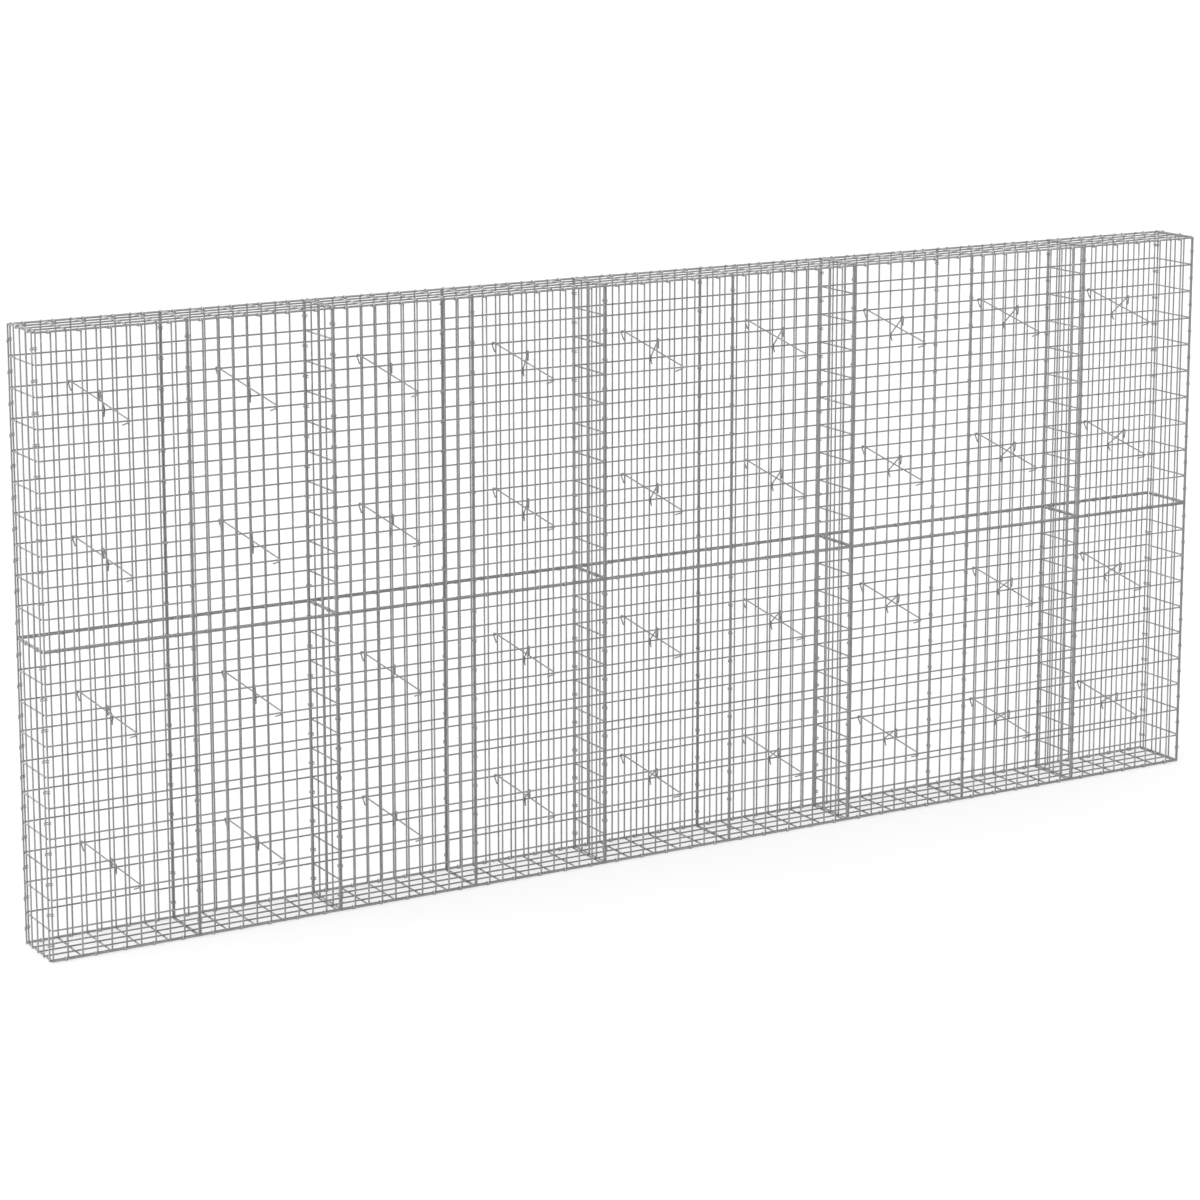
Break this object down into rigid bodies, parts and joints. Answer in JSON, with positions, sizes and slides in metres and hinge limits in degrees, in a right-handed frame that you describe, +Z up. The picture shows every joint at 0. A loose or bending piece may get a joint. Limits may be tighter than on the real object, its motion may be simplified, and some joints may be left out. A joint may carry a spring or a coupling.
{
  "type": "gabion wall",
  "caption": "Empty slim gabion wall of galvanised welded wire mesh: face, end, bottom and cover panels with cross partitions, stiffened by crossing hooked ties.",
  "frame": {"origin": "middle of the footprint, on the ground under the bottom panels", "axes": "+X along the wall towards the half bay, +Y from the front face to the back face, +Z up"},
  "size_m": [4.573, 0.2334, 2.0183],
  "materials": {
    "mesh_wire": "galvanised, satin grey",
    "tie_wire": "galvanised, satin grey"
  },
  "bodies": {
    "root": {"front_lower_bay_1": "mesh_wire", "front_lower_bay_2": "mesh_wire", "front_lower_bay_3": "mesh_wire", "front_lower_bay_4": "mesh_wire", "front_lower_bay_5": "mesh_wire", "front_upper_bay_1": "mesh_wire", "front_upper_bay_2": "mesh_wire", "front_upper_bay_3": "mesh_wire", "front_upper_bay_4": "mesh_wire", "front_upper_bay_5": "mesh_wire", "back_lower_bay_1": "mesh_wire", "back_lower_bay_2": "mesh_wire", "back_lower_bay_3": "mesh_wire", "back_lower_bay_4": "mesh_wire", "back_lower_bay_5": "mesh_wire", "back_upper_bay_1": "mesh_wire", "back_upper_bay_2": "mesh_wire", "back_upper_bay_3": "mesh_wire", "back_upper_bay_4": "mesh_wire", "back_upper_bay_5": "mesh_wire", "left_end_lower": "mesh_wire", "left_end_upper": "mesh_wire", "right_end_lower": "mesh_wire", "right_end_upper": "mesh_wire", "partition_1": "mesh_wire", "partition_2": "mesh_wire", "partition_3": "mesh_wire", "partition_4": "mesh_wire", "bottom_bay_1": "mesh_wire", "bottom_bay_2": "mesh_wire", "bottom_bay_3": "mesh_wire", "bottom_bay_4": "mesh_wire", "bottom_bay_5": "mesh_wire", "cover_bay_1": "mesh_wire", "cover_bay_2": "mesh_wire", "cover_bay_3": "mesh_wire", "cover_bay_4": "mesh_wire", "cover_bay_5": "mesh_wire", "ties_bay_1": "tie_wire", "ties_bay_2": "tie_wire", "ties_bay_3": "tie_wire", "ties_bay_4": "tie_wire", "ties_bay_5": "tie_wire"}
  },
  "joints": []
}
